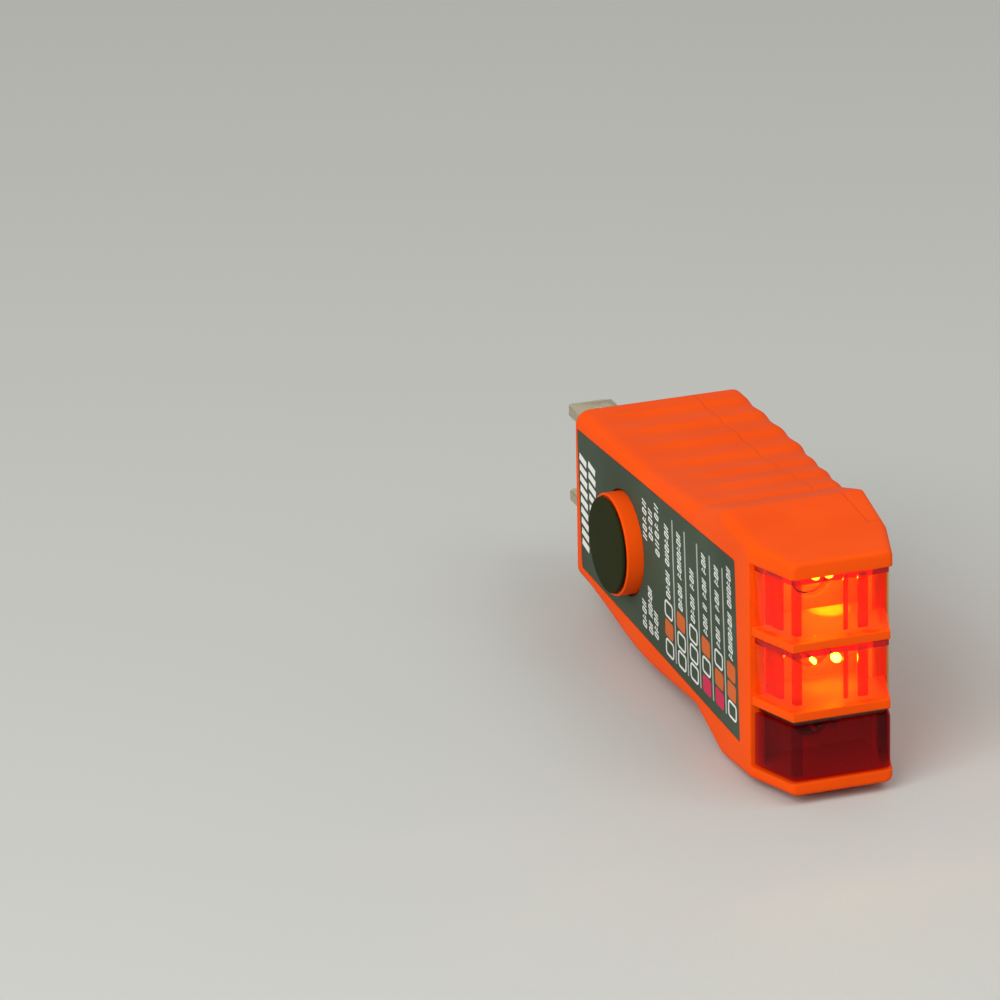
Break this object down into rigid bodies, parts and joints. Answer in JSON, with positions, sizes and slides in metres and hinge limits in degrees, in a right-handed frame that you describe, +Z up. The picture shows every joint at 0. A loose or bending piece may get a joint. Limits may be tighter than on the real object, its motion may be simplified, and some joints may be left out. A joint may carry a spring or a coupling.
{
  "type": "outlet tester plug",
  "caption": "Plug-in wall socket tester: two-shell orange case with three prongs, three lamp windows, a printed label and a push button for the trip test.",
  "frame": {"origin": "middle of the flat plug face that rests on the wall socket", "axes": "+Y into the wall along the prongs, +Z up as plugged into a sideways socket, +X away from the label"},
  "size_m": [0.0273, 0.0943, 0.0352],
  "materials": {
    "case_orange": "moulded, fine satin texture",
    "label": "printed panel, satin",
    "button_insert": "soft matte",
    "amber_lens": "clear amber, moulded gloss",
    "red_lens": "dark clear red, moulded gloss",
    "lamp_glass": "clear glass, lit",
    "lamp_dark_glass": "clear glass, unlit",
    "lead_wire": "tinned wire",
    "board": "solder mask",
    "resistor_tan": "dipped coating",
    "resistor_blue": "dipped coating",
    "wire_black": "insulation",
    "wire_white": "insulation",
    "wire_green": "insulation",
    "block_plastic": "moulded insulator",
    "prong_brass": "nickel-washed brass, drawn",
    "brass": "stamped",
    "steel": "zinc plated"
  },
  "bodies": {
    "tester_body": {"case_front": "case_orange", "case_back": "case_orange", "label_plate": "label", "lens_amber_upper": "amber_lens", "lens_amber_lower": "amber_lens", "lens_red": "red_lens", "lamp_upper": "lamp_glass", "lamp_middle": "lamp_glass", "lamp_lower": "lamp_dark_glass", "lamp_lead_upper_a": "lead_wire", "lamp_lead_upper_b": "lead_wire", "lamp_lead_middle_a": "lead_wire", "lamp_lead_middle_b": "lead_wire", "lamp_lead_lower_a": "lead_wire", "lamp_lead_lower_b": "lead_wire", "circuit_board": "board", "lamp_resistor_upper": "resistor_tan", "lamp_resistor_middle": "resistor_tan", "lamp_resistor_lower": "resistor_tan", "test_resistor": "resistor_blue", "contact_pad_line": "brass", "contact_pad_ground": "brass", "button_spring": "steel", "wire_hot": "wire_black", "wire_neutral": "wire_white", "wire_ground": "wire_green", "prong_block": "block_plastic", "blade_hot": "prong_brass", "blade_neutral": "prong_brass", "ground_pin": "prong_brass", "case_screw_upper": "steel", "case_screw_lower": "steel"},
    "test_button": {"button_cap": "case_orange", "button_insert": "button_insert", "contact_bridge": "brass"}
  },
  "joints": [
    {"name": "button_press", "type": "slide", "parent": "tester_body", "child": "test_button", "axis": [1, 0, 0], "range_m": [0, 0.0016], "stiffness_N_per_m": 900, "springref_m": -0.001, "deforming": ["button_spring"]}
  ]
}
